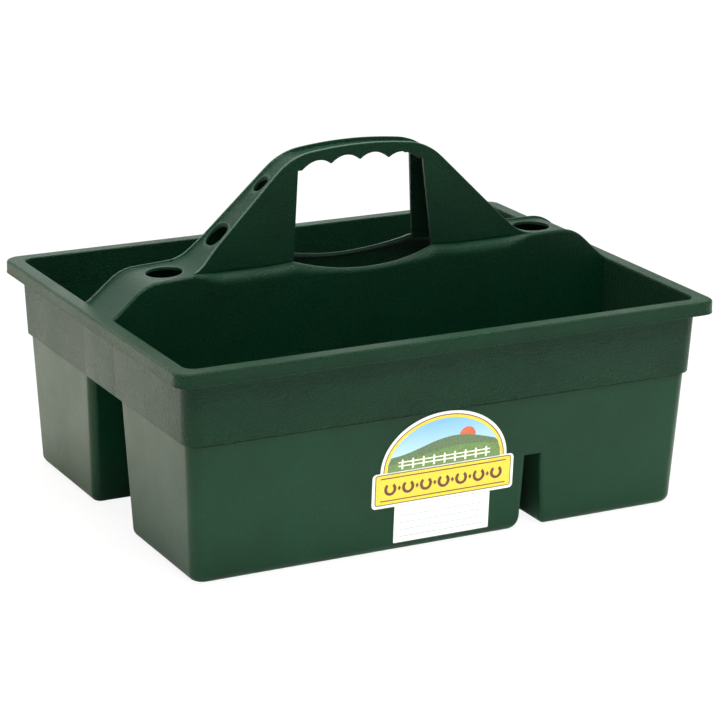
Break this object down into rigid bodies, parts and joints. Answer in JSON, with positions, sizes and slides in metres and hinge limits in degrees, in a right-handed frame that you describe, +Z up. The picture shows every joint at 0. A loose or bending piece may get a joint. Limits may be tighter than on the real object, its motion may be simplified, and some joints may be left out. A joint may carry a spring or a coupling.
{
  "type": "grooming tote",
  "caption": "Two-sided carrying tote with a hollow centre divider, a scalloped hand grip, holes for tools and a slot and notch underneath.",
  "frame": {"origin": "on the ground under the middle of the tote", "axes": "+X along the tote to its right end, +Y to its rear, +Z up; the front with the labels looks along -Y"},
  "size_m": [0.406, 0.3124, 0.2502],
  "materials": {
    "moulding": "fine moulded grain, slightly waxy, dark green",
    "picture_label": "printed paper label, satin",
    "ticket_label": "white printed paper, satin"
  },
  "bodies": {
    "root": {"rim": "moulding", "upper_wall": "moulding", "front_compartment_wall": "moulding", "rear_compartment_wall": "moulding", "front_cross_bridge": "moulding", "rear_cross_bridge": "moulding", "front_divider_wall": "moulding", "rear_divider_wall": "moulding", "front_left_well": "moulding", "front_right_well": "moulding", "rear_left_well": "moulding", "rear_right_well": "moulding", "left_tool_rest": "moulding", "right_tool_rest": "moulding", "left_handle_arm": "moulding", "right_handle_arm": "moulding", "grip": "moulding", "picture_label": "picture_label", "ticket_label": "ticket_label"}
  },
  "joints": []
}
